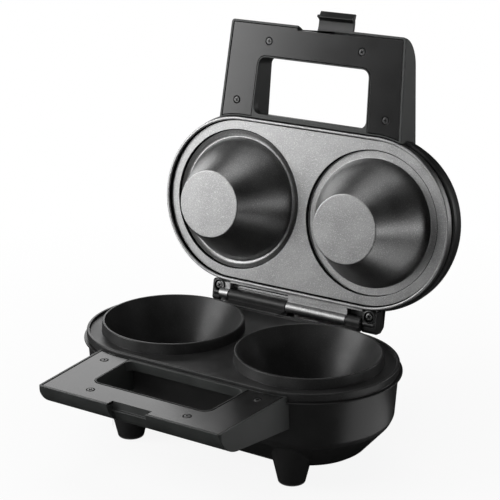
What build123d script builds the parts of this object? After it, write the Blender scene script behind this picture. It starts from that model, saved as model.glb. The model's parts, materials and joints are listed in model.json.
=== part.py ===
from build123d import *
import math
import os

# Waffle bowl maker: a countertop cooker with two moulds side by side under a hinged lid.
# Frame: millimetres, origin on the table under the point midway between the two moulds,
# X to the right, Y to the back (towards the hinge), Z up. The lid is drawn shut and is
# swung open at the end, so the model rests with the lid open.

# Moulds and plates
cone_top_radius = 50.4
cone_drop = 38.8
cone_side_angle = 27.57
bowl_wall = 3.0
casting_wall = 3.0
recess_land = 6.0
mould_gap = 9.2
plate_margin = 11.1
rim_width = 2.5
rim_height = 80.4
plate_gap = 0.4
lower_field_depth = 2.0
lower_plate_edge = 5.8
upper_field_depth = 3.5
upper_plate_edge = 7.2
recess_depth = 2.9
ring_play = 0.4
ring_gap = 0.5
ring_draft = 0.8

# Hinge
hinge_reach = 11.1
hinge_rise = 2.8
open_angle = 98.5
barrel_radius = 4.5
pin_radius = 2.0
running_gap = 0.05
knuckle_gap = 0.4
outer_left_knuckle = 7.4
inner_left_knuckle = 1.9
middle_knuckle_x = -4.5
inner_right_knuckle = 10.8
outer_right_knuckle = 2.3
flange_thickness = 4.0
flange_drop = 1.2
pin_recess = 2.4
ear_gap = 0.2
ear_reach = 15.0
ear_front_gap = 0.5
ear_depth = 18.5
ear_rise = 9.0
ear_cover_overlap = 0.4
ear_collar = 5.8
ear_collar_drop = 1.0
ear_screw_reach = 8.6
ear_screw_back = 4.9
ear_screw_sink = 1.2
lug_radius = 4.9
lug_thickness = 3.0

# Housings
skin = 2.5
lip_overhang = 2.2
lip_thickness = 1.3
lip_drop = 0.7
room_under_cups = 23.6
crease_rise = 23.2
lid_edge_gap = 0.8
lid_overhang = 2.0
lid_dome = 27.0

# Feet
foot_side = 11.8
front_foot_inset = 25.3
rear_foot_inset = 20.5
foot_radius = 10.0
foot_draft = 0.233
foot_inset = 0.9
pad_radius = 7.5
pad_proud = 0.8
pad_depth = 1.6

# Handles
handle_reach = 77.2
handle_side_front = 16.5
handle_side_back = 21.2
handle_overlap = 5.5
handle_slope = 6.4
nose_radius = 24.0
nose_sink = 4.7
handle_corner = 3.0
upper_face_drop = 0.1
lower_face_drop = 2.2
handle_wall = 3.0
handle_gap = 0.1
plate_clearance = 0.7
cover_inset = 2.0
cover_thickness = 1.9
cover_gap = 0.15
bar_width = 27.7
bar_back_width = 4.5
finger_side_front = 12.0
finger_side_back = 10.0
finger_corner = 6.0
finger_rim = 1.2
finger_wall = 2.4
bar_depth = 7.4
front_screw_inset = 19.5
front_screw_back = 14.7
rear_screw_side = 6.0
rear_screw_reach = 13.3
notch_half = 16.4
notch_wall = 2.2
notch_line = [(7.4, 0.0), (7.2, 5.7), (7.4, 7.6), (7.9, 8.0), (10.1, 12.8), (14.7, 21.2)]
catch_back = 5.3
catch_drop = 5.7

# Latch
latch_back = 17.2
latch_rise = 15.0
latch_swing = 94.0
latch_half = 15.8
latch_thickness = 2.6
latch_flush = 0.2
latch_floor_gap = 0.4
latch_pocket = 4.9
latch_knuckle = 3.2
latch_pin_radius = 1.25
latch_pin_half = 18.4
hook_radius = 27.0
hook_thickness = 2.0
hook_gap = 0.35
hook_overlap = 1.0
latch_end_angle = 198.0
tab_line = [(2.1, 9.7), (0.3, 11.2), (-0.3, 14.6), (1.1, 15.3), (3.1, 11.7)]

# Fasteners, heaters and electrical pieces
tube_radius = 3.25
lower_heater_inset = 11.0
upper_heater_inset = 12.3
heater_end_x = 14.0
touch_gap = 0.05
clamp_strap = 0.8
clamp_width = 8.0
clamp_foot = 5.6
clamp_toe = 2.0
clamp_slack = 0.4
clamp_x = [-34.0, 34.0]
post_x = 19.0
post_inset = 23.5
post_radius = 4.5
post_drop = 22.0
boss_radius = 5.5
boss_bore = 3.9
boss_web = 8.0
boss_shoulder = 7.5
screw_shank = 1.5
screw_head = 2.7
screw_gap = 0.1
plate_screw_shank = 1.9
plate_screw_head = 3.6
shield_drop = 7.0
shield_thickness = 0.6
lower_shield_inset = 15.5
shield_lip = 5.0
upper_shield_inset = 10.5
upper_shield_rise = 17.6
gland_drop = 24.6
gland_inset = 0.9
gland_bore = 3.6
gland_body = 5.5
gland_flange = 8.0
gland_wall = 4.6
lower_bolt_drops = [17.6, 6.6]
upper_bolt_rises = [5.0, 12.4]
lower_bolt_inset = 4.7
upper_bolt_inset = 2.9
bolt_length = 18.0
bolt_boss_radius = 4.2
bolt_boss_reach = 18.5
thermostat_y = 17.0
thermostat_screws = 11.0
hook_x = 18.0
fuse_y = -20.0
fuse_radius = 2.0
block_x = 24.0
block_gap = 0.3
block_height = 11.8
block_foot = 4.8
block_foot_top = 7.8
vent_first = 11.0
vent_pitch = 7.0
vent_half_width = 1.6
vent_half_length = 22.0
lamp_x = 14.0
lamp_y = -38.0
lens_radius = 4.0
lamp_gap = 3.0

# Worked out from the sizes above: moulds, plates and housings
cone_slope = math.tan(math.radians(cone_side_angle))
recess_radius = cone_top_radius + recess_land
ring_radius = recess_radius - ring_play
mould_pitch = 2 * recess_radius + mould_gap
half_pitch = mould_pitch / 2
plate_radius = recess_radius + plate_margin
wall_across = casting_wall / math.cos(math.radians(cone_side_angle))
batter_across = bowl_wall / math.cos(math.radians(cone_side_angle))
upper_rim = rim_height + plate_gap
upper_field = upper_rim + upper_field_depth
recess_floor = upper_field + recess_depth
upper_back = upper_rim + upper_plate_edge
heater_seat = recess_floor + casting_wall
cone_end = upper_rim - cone_drop
cone_end_radius = cone_top_radius - (recess_floor - cone_end) * cone_slope
lower_field = rim_height - lower_field_depth
lower_back = rim_height - lower_plate_edge
ring_top = recess_floor - ring_gap
cup_floor = cone_end - bowl_wall
lip_top = lower_back - lip_drop
lip_radius = plate_radius + lip_overhang
floor_height = cup_floor - casting_wall - room_under_cups
foot_top = floor_height + crease_rise
base_side = [(plate_radius - 27.5, floor_height), (plate_radius - 22.0, floor_height + 3.0),
             (plate_radius - 4.6, foot_top), (plate_radius - 2.7, foot_top + 4.4), (plate_radius - 0.6, lower_back)]
lid_height = upper_back + lid_dome
lid_side = [(plate_radius + lid_overhang, upper_back + lid_edge_gap),
            (plate_radius + lid_overhang, upper_back + 4.8), (plate_radius + 1.0, lid_height - 14.2),
            (plate_radius - 1.0, lid_height - 8.2), (plate_radius - 5.5, lid_height - 3.2),
            (plate_radius - 13.5, lid_height - 0.6), (plate_radius - 19.5, lid_height)]
foot_x = half_pitch + foot_side
front_foot_y = front_foot_inset - plate_radius
rear_foot_y = plate_radius - rear_foot_inset
foot_limit = base_side[2][0] - foot_inset

# Worked out: handles and latch
upper_face = upper_rim - upper_face_drop
lower_face = rim_height - lower_face_drop
bolt_x = half_pitch
handle_front = plate_radius + handle_reach
handle_back = plate_radius - handle_overlap
handle_half_front = bolt_x + handle_side_front
handle_half_back = bolt_x + handle_side_back
finger_front = handle_front - bar_width
finger_back = plate_radius + bar_back_width
finger_half_front = bolt_x - finger_side_front
finger_half_back = bolt_x - finger_side_back
front_screws = [(side * (bolt_x - front_screw_inset), front_screw_back - handle_front) for side in (-1, 1)]
rear_screws = [(side * (bolt_x + rear_screw_side), -plate_radius - rear_screw_reach) for side in (-1, 1)]
handle_screws = front_screws + rear_screws
lower_notch = [(back - handle_front, lower_face - drop) for back, drop in notch_line]
catch_y = catch_back - handle_front
catch_top = lower_face - catch_drop
latch_y = latch_back - handle_front
hook_tip = catch_y + hook_overlap
latch_tab = [(back - handle_front, upper_face - drop) for back, drop in tab_line]
nose_y = -handle_front + math.sqrt(nose_radius ** 2 - nose_sink ** 2)
nose_z = upper_face - nose_sink
latch_z = upper_face + latch_rise
screw_hole = screw_shank + screw_gap
plate_screw_hole = plate_screw_shank + screw_gap

# Worked out: hinge
hinge_y = plate_radius + hinge_reach
hinge_z = rim_height + hinge_rise
flange_low = upper_rim + flange_drop
flange_high = flange_low + flange_thickness
knuckle_ends = [-half_pitch - outer_left_knuckle, -half_pitch + inner_left_knuckle, middle_knuckle_x,
                half_pitch - inner_right_knuckle, half_pitch + outer_right_knuckle]
ear_left_inner = knuckle_ends[0] - ear_gap
ear_right_inner = knuckle_ends[4] + ear_gap
ear_outer = half_pitch + ear_reach
pin_half = ear_outer - pin_recess
ear_front = plate_radius + ear_front_gap
ear_back = plate_radius + ear_depth
ear_top = upper_back + ear_rise
ear_cover_bottom = flange_low
ear_cover_top = upper_back + ear_cover_overlap
ear_screw_x = half_pitch + ear_screw_reach
ear_screw_y = plate_radius + ear_screw_back
ear_seat = flange_low + ear_screw_sink

# Worked out: heaters and electrical pieces
lower_heater_radius = plate_radius - lower_heater_inset
upper_heater_radius = plate_radius - upper_heater_inset
post_y = plate_radius - post_inset
shield_height = cup_floor - casting_wall - shield_drop
shield_radius = plate_radius - lower_shield_inset
upper_shield_radius = plate_radius - upper_shield_inset
shield_seat = upper_rim + upper_shield_rise
gland_y = plate_radius - gland_inset
gland_z = lower_back - gland_drop
lower_bolts = [lower_back - drop for drop in lower_bolt_drops]
upper_bolts = [upper_back + rise for rise in upper_bolt_rises]
lower_bolt_seat = lower_bolt_inset - plate_radius
upper_bolt_seat = upper_bolt_inset - plate_radius
block_low = floor_height + skin + block_gap
block_top = block_low + block_height
lamp_low = shield_seat + shield_thickness + lamp_gap
hinge_axis = Axis((0, hinge_y, hinge_z), (1, 0, 0))
latch_axis = Axis((0, latch_y, latch_z), (1, 0, 0))


def cone_radius(z):
    """Outside radius of a cone of the upper plate at height z, lid shut."""
    return cone_end_radius + (z - cone_end) * cone_slope


def closed_face(points, plane=Plane.XY):
    """Face on a plane through (u, v) or (u, v, corner radius) points."""
    face = make_face(Polyline(*[(p[0], p[1]) for p in points], close=True))
    for u, v, radius in [p for p in points if len(p) == 3]:
        face = fillet(face.vertices().sort_by_distance((u, v, 0))[0], radius)
    return plane * face


def swept_x(points, x_low, x_high):
    """Solid with a (y, z) section between two stations along X."""
    return extrude(Pos(x_low, 0, 0) * closed_face(points, Plane.YZ), x_high - x_low, dir=(1, 0, 0))


def turned(points, x=0.0, y=0.0):
    """Solid of revolution of (radius, z) points about an upright axis."""
    return Pos(x, y, 0) * revolve(closed_face(points, Plane.XZ), Axis.Z, 360)


def cylinder(radius, z_low, z_high, x=0.0, y=0.0):
    """Upright cylinder between two heights."""
    return Pos(x, y, (z_low + z_high) / 2) * Cylinder(radius, z_high - z_low)


def rod(radius, x_low, x_high, y, z):
    """Cylinder along X."""
    return Pos((x_low + x_high) / 2, y, z) * Rot(0, 90, 0) * Cylinder(radius, x_high - x_low)


def bar(radius, y_low, y_high, x, z):
    """Cylinder along Y."""
    return Pos(x, (y_low + y_high) / 2, z) * Rot(90, 0, 0) * Cylinder(radius, y_high - y_low)


def block(x_low, x_high, y_low, y_high, z_low, z_high):
    """Box between two corners."""
    middle = ((x_low + x_high) / 2, (y_low + y_high) / 2, (z_low + z_high) / 2)
    return Pos(*middle) * Box(x_high - x_low, y_high - y_low, z_high - z_low)


def racetrack(radius, z_low, z_high):
    """Straight-sided slab round both mould centres."""
    outline = Plane.XY.offset(z_low) * SlotCenterToCenter(mould_pitch, 2 * radius)
    return extrude(outline, z_high - z_low)


def racetrack_body(points):
    """Solid whose (radius, z) half section runs round both mould centres."""
    half = closed_face(points, Plane.XZ)
    to_front = Rot(0, 0, -90) * half
    to_back = Rot(0, 0, 90) * half
    left = Pos(-half_pitch, 0, 0)
    right = Pos(half_pitch, 0, 0)
    straight = extrude(left * to_front, mould_pitch, dir=(1, 0, 0))
    straight += extrude(left * to_back, mould_pitch, dir=(1, 0, 0))
    return straight + right * revolve(to_front, Axis.Z, 180) + left * revolve(to_back, Axis.Z, 180)


def inner_line(points, distance):
    """Wall line moved towards the inside of a housing, square to each stretch."""
    moved = []
    for index, (radius, z) in enumerate(points):
        normals = []
        for first, second in zip(points[max(index - 1, 0):index + 1], points[max(index, 1):index + 2]):
            run, rise = second[0] - first[0], second[1] - first[1]
            length = math.hypot(run, rise)
            normals.append((-rise / length, run / length))
        total_r = sum(n[0] for n in normals)
        total_z = sum(n[1] for n in normals)
        scale = distance * len(normals) / (total_r ** 2 + total_z ** 2)
        moved.append((radius + total_r * scale, z + total_z * scale))
    return moved


def at_moulds(shape):
    """The shape, drawn at the origin, at both mould centres."""
    return [Pos(-half_pitch, 0, 0) * shape, Pos(half_pitch, 0, 0) * shape]


def knuckle(x_low, x_high, low, high, top):
    """Hinge barrel with the web that carries it from a plate edge; top is 1 for the lid."""
    start = x_low + knuckle_gap / 2
    end = x_high - knuckle_gap / 2
    rear = hinge_y + barrel_radius
    front = hinge_y - barrel_radius
    tip = high if top > 0 else low
    base_line = low if top > 0 else high
    web = [(plate_radius - 2, base_line), (front, base_line), (front, hinge_z), (rear, hinge_z),
           (rear, hinge_z + top * 1.2), (hinge_y + 1.5, tip), (plate_radius - 2, tip)]
    return swept_x(web, start, end) + rod(barrel_radius, start, end, hinge_y, hinge_z)


def pin_bore(gap):
    """Bore of the hinge over its whole length."""
    return rod(pin_radius + gap, -ear_outer + 1.8, ear_outer - 1.8, hinge_y, hinge_z)


def clip_screw_y(middle, side, radius):
    """Y of the screw of a clip over a tube at Y middle; its foot points to the centre line."""
    return middle - side * (radius + clamp_slack + clamp_strap + clamp_foot / 2)


def tube_clip(x, middle, side, radius, seat, away):
    """Strap over a tube, one screwed foot and one toe on the plate; away is the tube's side."""
    depth = 2 * radius + touch_gap + 0.1
    inner = radius + clamp_slack
    outer = inner + clamp_strap
    points = [(-outer - clamp_foot, 0), (-inner, 0), (-inner, depth), (inner, depth), (inner, 0),
              (outer + clamp_toe, 0), (outer + clamp_toe, clamp_strap), (outer, clamp_strap),
              (outer, depth + clamp_strap), (-outer, depth + clamp_strap), (-outer, clamp_strap),
              (-outer - clamp_foot, clamp_strap)]
    placed = [(middle + side * u, seat + away * v) for u, v in points]
    strap = swept_x(placed, x - clamp_width / 2, x + clamp_width / 2)
    return strap - cylinder(screw_hole, seat - 2, seat + 2, x, clip_screw_y(middle, side, radius))


def screw(x, y, seat, away, length, shank=screw_shank, head=screw_head, height=1.6):
    """Pan-head cross-recess screw whose head stands on the seat height, towards away."""
    tip = seat - away * length
    face = seat + away * height
    cap = cylinder(head, min(seat, face), max(seat, face), x, y)
    rims = cap.edges().filter_by(GeomType.CIRCLE).sort_by(Axis.Z)
    cap = fillet(rims[-1] if away > 0 else rims[0], height * 0.45)
    floor = face - away * height * 0.6
    arm = head * 0.58
    slot = block(x - arm, x + arm, y - 0.4, y + 0.4, min(face, floor), max(face, floor))
    slot += block(x - 0.4, x + 0.4, y - arm, y + arm, min(face, floor), max(face, floor))
    return cylinder(shank, min(seat, tip), max(seat, tip), x, y) + cap - slot


def heater(radius, z):
    """Sheathed heating tube with an insulator and a terminal pin at each end."""
    right_end = (half_pitch + radius, 0, z)
    left_end = (-half_pitch - radius, 0, z)
    path = Wire([
        Edge.make_line((heater_end_x, radius, z), (half_pitch, radius, z)),
        Edge.make_three_point_arc((half_pitch, radius, z), right_end, (half_pitch, -radius, z)),
        Edge.make_line((half_pitch, -radius, z), (-half_pitch, -radius, z)),
        Edge.make_three_point_arc((-half_pitch, -radius, z), left_end, (-half_pitch, radius, z)),
        Edge.make_line((-half_pitch, radius, z), (-heater_end_x, radius, z)),
    ])
    shape = sweep(Plane(origin=(heater_end_x, radius, z), z_dir=(1, 0, 0)) * Circle(tube_radius), path)
    for side in (-1, 1):
        ends = sorted((side * (heater_end_x - 3), side * (heater_end_x + 1)))
        shape += rod(tube_radius - 0.7, ends[0], ends[1], radius, z)
        ends = sorted((side * (heater_end_x - 8), side * heater_end_x))
        shape += rod(1.25, ends[0], ends[1], radius, z)
    return shape


def lower_plate():
    """Cast plate of the base: two cups, each in a raised ring, four posts and two hinge knuckles."""
    shape = racetrack(plate_radius, lower_back, rim_height)
    shape -= racetrack(plate_radius - rim_width, lower_field, rim_height)
    for hole in at_moulds(cylinder(ring_radius + 1, lower_back - 1, rim_height + 1)):
        shape -= hole
    outer_floor = cup_floor - casting_wall
    outer = wall_across + batter_across
    cup = [(ring_radius + 2.5, lower_back), (ring_radius + 2.5, lower_field),
           (ring_radius, lower_field, 1.2), (ring_radius - ring_draft, ring_top, 0.5),
           (cone_radius(ring_top) + batter_across, ring_top),
           (cone_radius(cup_floor) + batter_across, cup_floor, 2.5), (0, cup_floor), (0, outer_floor),
           (cone_radius(outer_floor) + outer, outer_floor, 3.0), (cone_radius(lower_back) + outer, lower_back)]
    for moulding in at_moulds(turned(cup)):
        shape += moulding
    for x in (-post_x, post_x):
        for y in (-post_y, post_y):
            shape += cylinder(post_radius, lower_back - post_drop, lower_field - 1, x, y)
            shape -= cylinder(plate_screw_hole, lower_back - post_drop, lower_back - 8, x, y)
    low = rim_height - flange_thickness
    shape += knuckle(knuckle_ends[1], knuckle_ends[2], low, rim_height, -1)
    shape += knuckle(knuckle_ends[3], knuckle_ends[4], low, rim_height, -1)
    for x, y in lower_screw_places():
        shape -= cylinder(screw_hole, lower_back - 1, lower_back + 2.6, x, y)
    return shape - pin_bore(running_gap)


def lower_screw_places():
    """Centres of the small screws in the back of the lower plate."""
    places = [(x, clip_screw_y(side * lower_heater_radius, side, tube_radius))
              for x in clamp_x for side in (-1, 1)]
    places += [(0, thermostat_y - thermostat_screws), (0, thermostat_y + thermostat_screws)]
    return places + [(0, clip_screw_y(fuse_y, -1, fuse_radius))]


def upper_plate():
    """Cast plate of the lid: two hollow cones, heater seat, posts, hooks, lugs and two hinge knuckles."""
    shape = racetrack(plate_radius, upper_rim, upper_back)
    shape -= racetrack(plate_radius - rim_width, upper_rim, upper_field)
    seat = racetrack(recess_radius + casting_wall, upper_field, heater_seat)
    shape += seat - racetrack(upper_heater_radius - 4, upper_field, heater_seat)
    for hole in at_moulds(cylinder(recess_radius + 1, upper_rim - 1, heater_seat + 1)):
        shape -= hole
    inner_end = cone_end + casting_wall
    cone = [(recess_radius + casting_wall, upper_field), (recess_radius + casting_wall, heater_seat),
            (cone_radius(heater_seat) - wall_across, heater_seat),
            (cone_radius(inner_end) - wall_across, inner_end), (0, inner_end), (0, cone_end),
            (cone_end_radius, cone_end, 0.8), (cone_radius(recess_floor), recess_floor, 0.8),
            (recess_radius - 0.4, recess_floor, 0.5), (recess_radius, upper_field)]
    for moulding in at_moulds(turned(cone)):
        shape += moulding
    reach = tube_radius + clamp_slack + clamp_strap
    for x in clamp_x:
        for side in (-1, 1):
            ends = sorted((side * (upper_heater_radius - reach - clamp_foot - 0.4),
                           side * (upper_heater_radius + reach + clamp_toe + 0.4)))
            shape += block(x - 5, x + 5, ends[0], ends[1], recess_floor + 0.5, heater_seat)
    for y in shield_post_y():
        shape += cylinder(post_radius, upper_back - 2, shield_seat, 0, y)
    for x in (-hook_x, hook_x):
        shape += block(x - 5, x + 5, 4.9 - plate_radius, 7.1 - plate_radius, upper_back - 2, upper_back + 8)
        shape += block(x - 5, x + 5, 3.3 - plate_radius, 7.1 - plate_radius, upper_back + 6, upper_back + 8)
    stations = knuckle_ends
    shape += block(stations[0] + 0.2, stations[4] - 0.2, plate_radius - 2, plate_radius + 1.6,
                   flange_low, flange_high)
    left = knuckle(stations[0], stations[1], flange_low, flange_high, 1)
    for side in (-1, 1):
        lug = cylinder(lug_radius, upper_back - lug_thickness, upper_back, side * ear_screw_x, ear_screw_y)
        lug += block(side * ear_screw_x - lug_radius, side * ear_screw_x + lug_radius, handle_back, ear_screw_y,
                     upper_back - lug_thickness, upper_back)
        shape += lug
    shape += left
    shape += knuckle(stations[2], stations[3], flange_low, flange_high, 1)
    spot = cylinder(ear_collar + 0.3, flange_low - 1, upper_back - lug_thickness, -ear_screw_x, ear_screw_y)
    shape -= spot - racetrack(plate_radius + 0.2, 0, ear_top) - rod(barrel_radius, -ear_outer, 0, hinge_y, hinge_z)
    shape -= cylinder(plate_screw_head, lower_face, upper_back - lug_thickness, -ear_screw_x, ear_screw_y)
    for side in (-1, 1):
        shape -= cylinder(plate_screw_hole, flange_low, upper_back + 1, side * ear_screw_x, ear_screw_y)
    for x, y, z in upper_screw_places():
        shape -= cylinder(screw_hole, z - 2.6 if z < shield_seat else z - 8, z + 1, x, y)
    return shape - pin_bore(running_gap)


def shield_post_y():
    """Y of the two posts that carry the lid's heat shield."""
    return (4 - post_y, post_y - 4)


def upper_screw_places():
    """Centre and seat height of the small screws in the back of the upper plate, lid shut."""
    places = [(x, clip_screw_y(side * upper_heater_radius, side, tube_radius), heater_seat)
              for x in clamp_x for side in (-1, 1)]
    return places + [(0, y, shield_seat) for y in shield_post_y()]


def base_housing():
    """Lower housing: tapered shell with a lip, legs, vents and the bosses for its screws."""
    wall = base_side
    inside = inner_line([(0, floor_height)] + wall, skin)
    top = lower_back
    outer = racetrack_body([(0, wall[0][1])] + wall + [(0, top)])
    cavity = racetrack_body([(0, inside[1][1])] + inside[1:-1] + [(inside[-1][0], top + 1), (0, top + 1)])
    shell = outer - cavity
    shell += racetrack(lip_radius, lip_top - lip_thickness, lip_top) - racetrack(
        inside[-1][0], lip_top - lip_thickness - 1, lip_top + 1)
    end_radius = foot_radius + foot_draft * (foot_top - pad_proud)
    for x, y in foot_places():
        leg = turned([(0, pad_proud), (foot_radius, pad_proud, 0.8), (end_radius, foot_top), (0, foot_top)], x, y)
        leg &= racetrack(foot_limit, 0, foot_top)
        low, high = pad_proud + pad_depth + skin, foot_top - 2.6
        hollow = turned([(0, low), (foot_radius - skin + foot_draft * 4, low), (end_radius - skin, high),
                         (0, high)], x, y) & racetrack(foot_limit - skin, 0, high)
        shell += leg - cavity
        shell -= hollow
        shell -= cylinder(pad_radius + 0.05, 0, pad_proud + pad_depth, x, y)
    screw_seat = lower_back - post_drop - boss_web
    for x in (-post_x, post_x):
        for y in (-post_y, post_y):
            shell += cylinder(boss_radius, floor_height, lower_back - post_drop, x, y) & outer
            shell += cylinder(boss_shoulder, floor_height, shield_height, x, y) & outer
            shell -= cylinder(boss_bore, 0, screw_seat, x, y)
            shell -= cylinder(plate_screw_hole, screw_seat, lower_back, x, y)
    for side in (-1, 1):
        shell += cylinder(4, floor_height + 1, block_low + block_foot, side * block_x, 0)
        shell -= cylinder(screw_hole, block_low - 0.2, block_low + block_foot + 1, side * block_x, 0)
        for step in range(5):
            x = side * (half_pitch - vent_first + vent_pitch * step)
            shell -= block(x - vent_half_width, x + vent_half_width, -vent_half_length, vent_half_length,
                           floor_height - 1, floor_height + skin + 1)
        for z in lower_bolts:
            shell += bar(plate_screw_head + 1, lower_bolt_seat - 2.2, lower_bolt_seat, side * bolt_x, z)
            shell -= bar(plate_screw_hole, lower_bolt_seat - 17, lower_bolt_seat + 8, side * bolt_x, z)
    shell += bar(gland_flange + 1.5, gland_y - gland_wall, gland_y, 0, gland_z)
    return shell - bar(gland_body + 0.1, gland_y - 12, gland_y + 8, 0, gland_z)


def foot_places():
    """Centres of the four legs."""
    return [(x, y) for x in (-foot_x, foot_x) for y in (front_foot_y, rear_foot_y)]


def lid_housing():
    """Upper housing: domed shell with ears over the hinge, hook ledges and bosses, lid shut."""
    wall = lid_side
    inside = inner_line(wall + [(0, lid_height)], skin)
    outer = racetrack_body([(0, wall[0][1])] + wall + [(0, lid_height)])
    low = wall[0][1] - 1
    shell = outer - racetrack_body([(0, low), (inside[0][0], low)] + inside[1:])
    ears = [(-ear_outer, -ear_outer + 12.5), (ear_right_inner, ear_outer)]
    root = handle_back + 1
    foot = ear_cover_top + 0.2
    section = [(root, foot), (ear_back, foot), (ear_back, ear_top - 5), (ear_back - 4, ear_top), (root, ear_top)]
    for x_low, x_high in ears:
        shell += swept_x(section, x_low, x_high)
    for side in (-1, 1):
        shell += cylinder(4.5, upper_back + 0.05, upper_back + 4, side * ear_screw_x, ear_screw_y)
        shell -= cylinder(plate_screw_shank + 0.05, upper_back, ear_top - 1.2, side * ear_screw_x, ear_screw_y)
        rib_x = side * (half_pitch - 15)
        shell += block(rib_x - 2, rib_x + 2, -ear_front, -root, upper_back + 0.05, upper_back + 8) & outer
        shell += block(side * hook_x - 6, side * hook_x + 6, -ear_front, 0.1 - root,
                       upper_back + 3.7, upper_back + 5.9) & outer
        for z in upper_bolts:
            shell += bar(plate_screw_head + 0.3, upper_bolt_seat - 1.9, upper_bolt_seat, side * bolt_x, z) & outer
            shell -= bar(plate_screw_hole, upper_bolt_seat - 15, upper_bolt_seat + 10, side * bolt_x, z)
        shell -= cylinder(lens_radius + 0.1, lid_height - 10, lid_height + 5, side * lamp_x, lamp_y)
    return shell


def hinge_cover(side, inner_x):
    """Cap over one end of the hinge, with the collar for its screw; side is -1 on the left."""
    ends = sorted((side * ear_outer, inner_x))
    section = [(ear_front, ear_cover_bottom + 1.4), (ear_front + 1.4, ear_cover_bottom),
               (ear_back - 2.4, ear_cover_bottom), (ear_back, ear_cover_bottom + 2.4),
               (ear_back, ear_cover_top), (ear_front, ear_cover_top)]
    x = side * ear_screw_x
    pocket_z = upper_back - lug_thickness - 0.1
    under, over = ear_cover_bottom - 12, ear_top + 3
    shape = swept_x(section, ends[0], ends[1])
    shape += cylinder(ear_collar, ear_cover_bottom - ear_collar_drop, pocket_z, x, ear_screw_y)
    shape -= cylinder(lug_radius + 0.3, pocket_z, over, x, ear_screw_y)
    shape -= block(x - lug_radius - 0.3, x + lug_radius + 0.3, handle_back, ear_screw_y, pocket_z, over)
    if side < 0:
        shape -= rod(barrel_radius + 0.3, inner_x, 0, hinge_y, hinge_z)
        shape -= block(inner_x, 0, hinge_y - barrel_radius, ear_back + 4, under, over)
    shape -= racetrack(plate_radius + 0.3, under, over)
    shape -= cylinder(plate_screw_head + 0.6, under, ear_seat, x, ear_screw_y)
    shape -= cylinder(plate_screw_hole, under, over, x, ear_screw_y)
    return shape - pin_bore(running_gap)


def plan_face(inset):
    """Handle outline seen along Z: a shallow trapezium with rounded front corners."""
    corner = max(handle_corner - inset, 0.6)
    front = handle_front - inset
    return closed_face([(-handle_half_front + inset, -front, corner), (handle_half_front - inset, -front, corner),
                        (handle_half_back - inset, -handle_back), (-handle_half_back + inset, -handle_back)])


def handle_block(inset):
    """Solid handle on Z = 0, rising from its mating face; inset moves the outer walls inwards."""
    slope = math.radians(handle_slope)
    radius = nose_radius - inset
    front_y = nose_y - math.sqrt(radius ** 2 - nose_sink ** 2)
    crown = (nose_y - radius * math.sin(slope), -nose_sink + radius * math.cos(slope))
    rear_h = crown[1] + (-handle_back - crown[0]) * math.tan(slope)
    angle = (math.asin(nose_sink / radius) + math.pi / 2 - slope) / 2
    middle = (nose_y - radius * math.cos(angle), -nose_sink + radius * math.sin(angle))
    outline = Wire([
        Edge.make_line((front_y, 0), (-handle_back, 0)),
        Edge.make_line((-handle_back, 0), (-handle_back, rear_h)),
        Edge.make_line((-handle_back, rear_h), crown),
        Edge.make_three_point_arc(crown, middle, (front_y, 0)),
    ])
    section = extrude(Plane.YZ * make_face(outline), handle_half_back, both=True)
    return extrude(plan_face(inset), 40) & section


def finger_hole(grow, back, low, high):
    """Finger hole between two heights, moved outwards by grow, its rear side at distance back."""
    taper = (finger_half_back - finger_half_front) / (finger_front - finger_back)
    front = finger_front + grow
    half_front = finger_half_front + (1 - taper) * grow
    half_back = finger_half_front + taper * (finger_front - back) + grow
    corner = finger_corner + grow
    outline = closed_face([(-half_front, -front, corner), (half_front, -front, corner),
                           (half_back, -back, corner), (-half_back, -back, corner)])
    return Pos(0, 0, low) * extrude(outline, high - low)


def on_lid(shape):
    """Shape drawn on Z = 0 moved to the lid's handle face, lid shut."""
    return Pos(0, 0, upper_face) * shape


def on_base(shape):
    """Shape drawn on Z = 0 turned over and moved to the base's handle face."""
    return Pos(0, 0, lower_face) * mirror(shape, Plane.XY)


def lid_side_cut(grow):
    """Space taken by the closed lid behind its handle, grown outwards."""
    wall = [(radius + grow, z) for radius, z in lid_side]
    shape = racetrack_body([(0, wall[0][1])] + wall + [(0, lid_height)])
    return shape + racetrack(plate_radius + plate_clearance + grow, upper_rim - 5, wall[0][1])


def base_side_cut(grow):
    """Space taken by the base behind its handle, grown outwards."""
    wall = [(radius + grow, z) for radius, z in base_side]
    shape = racetrack_body([(0, wall[0][1])] + wall + [(0, wall[-1][1])])
    shape += racetrack(lip_radius + grow, lip_top - lip_thickness - grow, lip_top + grow)
    return shape + racetrack(plate_radius + plate_clearance + grow, lip_top, rim_height + 5)


def lid_notch(grow):
    """Latch channel of the lid's handle, lid shut: from the front face up to the latch pivot."""
    half = notch_half + grow
    floor = nose_radius - latch_flush - latch_thickness - latch_floor_gap - grow
    channel = block(-half, half, -handle_front - 20, latch_y + grow, upper_face - 5, upper_face + 40)
    channel -= rod(floor, -half - 1, half + 1, nose_y, nose_z)
    return channel + rod(latch_pocket + grow, -half, half, latch_y, latch_z)


def base_notch(grow):
    """Latch channel of the base's handle with the catch rib left standing."""
    half = notch_half + grow
    floor = [(y + grow, z) for y, z in lower_notch]
    outer = -handle_front - 20
    outline = [(outer, lower_face + 5), (floor[0][0], lower_face + 5)] + floor + [(outer, lower_notch[-1][1])]
    channel = swept_x(outline, -half, half)
    if grow > 0:
        return channel
    rib = rod(hook_radius, -half, half, latch_y, latch_z)
    rib &= block(-half, half, catch_y, lower_notch[0][0] + 1, catch_top - 3, catch_top)
    return channel - rib


def screw_columns(radius, low, high):
    """Upright columns at the cover screws of a handle drawn on Z = 0."""
    return [cylinder(radius, low, high, x, y) for x, y in handle_screws]


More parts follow.
